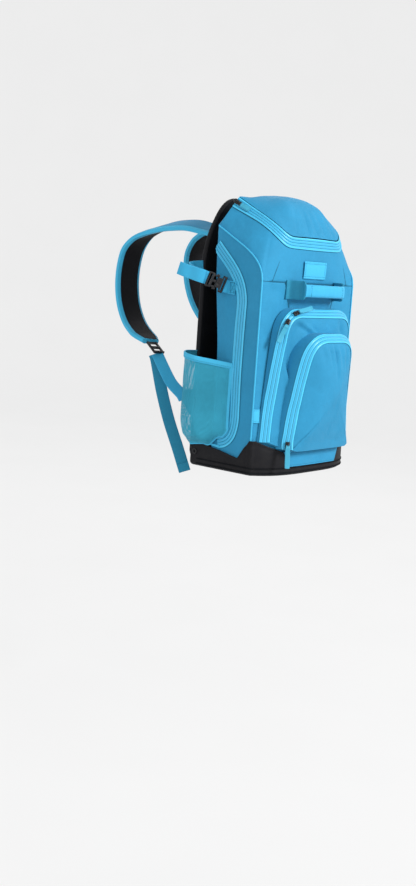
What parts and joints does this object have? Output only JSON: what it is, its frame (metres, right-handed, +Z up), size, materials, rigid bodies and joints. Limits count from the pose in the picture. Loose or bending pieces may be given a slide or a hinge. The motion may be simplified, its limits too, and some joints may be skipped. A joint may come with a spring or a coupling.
{
  "type": "baseball bat backpack",
  "caption": "Tall soft backpack with a domed zipped lid, stacked front pockets, side bat channels with mesh pockets and buckled straps, a dark boot and a padded harness.",
  "frame": {"origin": "between the two shoulder straps, under their crests, where they bear on the wearer's shoulders", "axes": "+Z up as worn, +Y towards the wearer, +X to the wearer's right"},
  "size_m": [0.4662, 0.5069, 0.5861],
  "materials": {
    "body_cloth": "woven polyester, matte",
    "zip_tape": "coated zipper tape, satin",
    "webbing": "woven webbing",
    "trim_cloth": "folded binding and trim",
    "mesh": "stretch mesh",
    "boot_cloth": "coated heavy cloth",
    "pad_cloth": "padded cloth",
    "black_plastic": "moulded plastic"
  },
  "bodies": {
    "root": {"main_shell": "body_cloth", "lid_dome": "body_cloth", "lid_zipper": "zip_tape", "base_boot": "boot_cloth", "back_panel": "pad_cloth", "upper_pocket": "body_cloth", "upper_pocket_zipper": "zip_tape", "lower_pocket": "body_cloth", "lower_pocket_zipper": "zip_tape", "haul_grip": "trim_cloth", "label_patch": "trim_cloth", "base_band": "trim_cloth", "side_tag": "trim_cloth", "haul_leg_left": "webbing", "haul_leg_right": "webbing", "side_zipper_left": "zip_tape", "side_zipper_right": "zip_tape", "side_piping_left": "trim_cloth", "side_piping_right": "trim_cloth", "mesh_pocket_left": "mesh", "mesh_pocket_right": "mesh", "mesh_hem_left": "trim_cloth", "mesh_hem_right": "trim_cloth", "bat_strap_anchor_left": "webbing", "bat_strap_anchor_right": "webbing", "bat_strap_loop_left": "webbing", "bat_strap_loop_right": "webbing", "bat_strap_tail_left": "webbing", "bat_strap_tail_right": "webbing", "bat_buckle_socket_left": "black_plastic", "bat_buckle_socket_right": "black_plastic", "bat_buckle_plug_left": "black_plastic", "bat_buckle_plug_right": "black_plastic", "shoulder_strap_left": "pad_cloth", "shoulder_strap_right": "pad_cloth", "adjuster_left": "black_plastic", "adjuster_right": "black_plastic", "lower_tab_left": "body_cloth", "lower_tab_right": "body_cloth", "lower_webbing_left": "webbing", "lower_webbing_right": "webbing", "webbing_tail_left": "webbing", "webbing_tail_right": "webbing", "boot_eyelet_left": "black_plastic", "boot_eyelet_right": "black_plastic", "lid_slider_left": "black_plastic", "lid_slider_right": "black_plastic", "lid_pull_left": "webbing", "lid_pull_right": "webbing", "upper_slider_one": "black_plastic", "upper_slider_two": "black_plastic", "upper_pull_one": "webbing", "upper_pull_two": "webbing", "lower_slider": "black_plastic", "lower_pull": "webbing"}
  },
  "joints": []
}
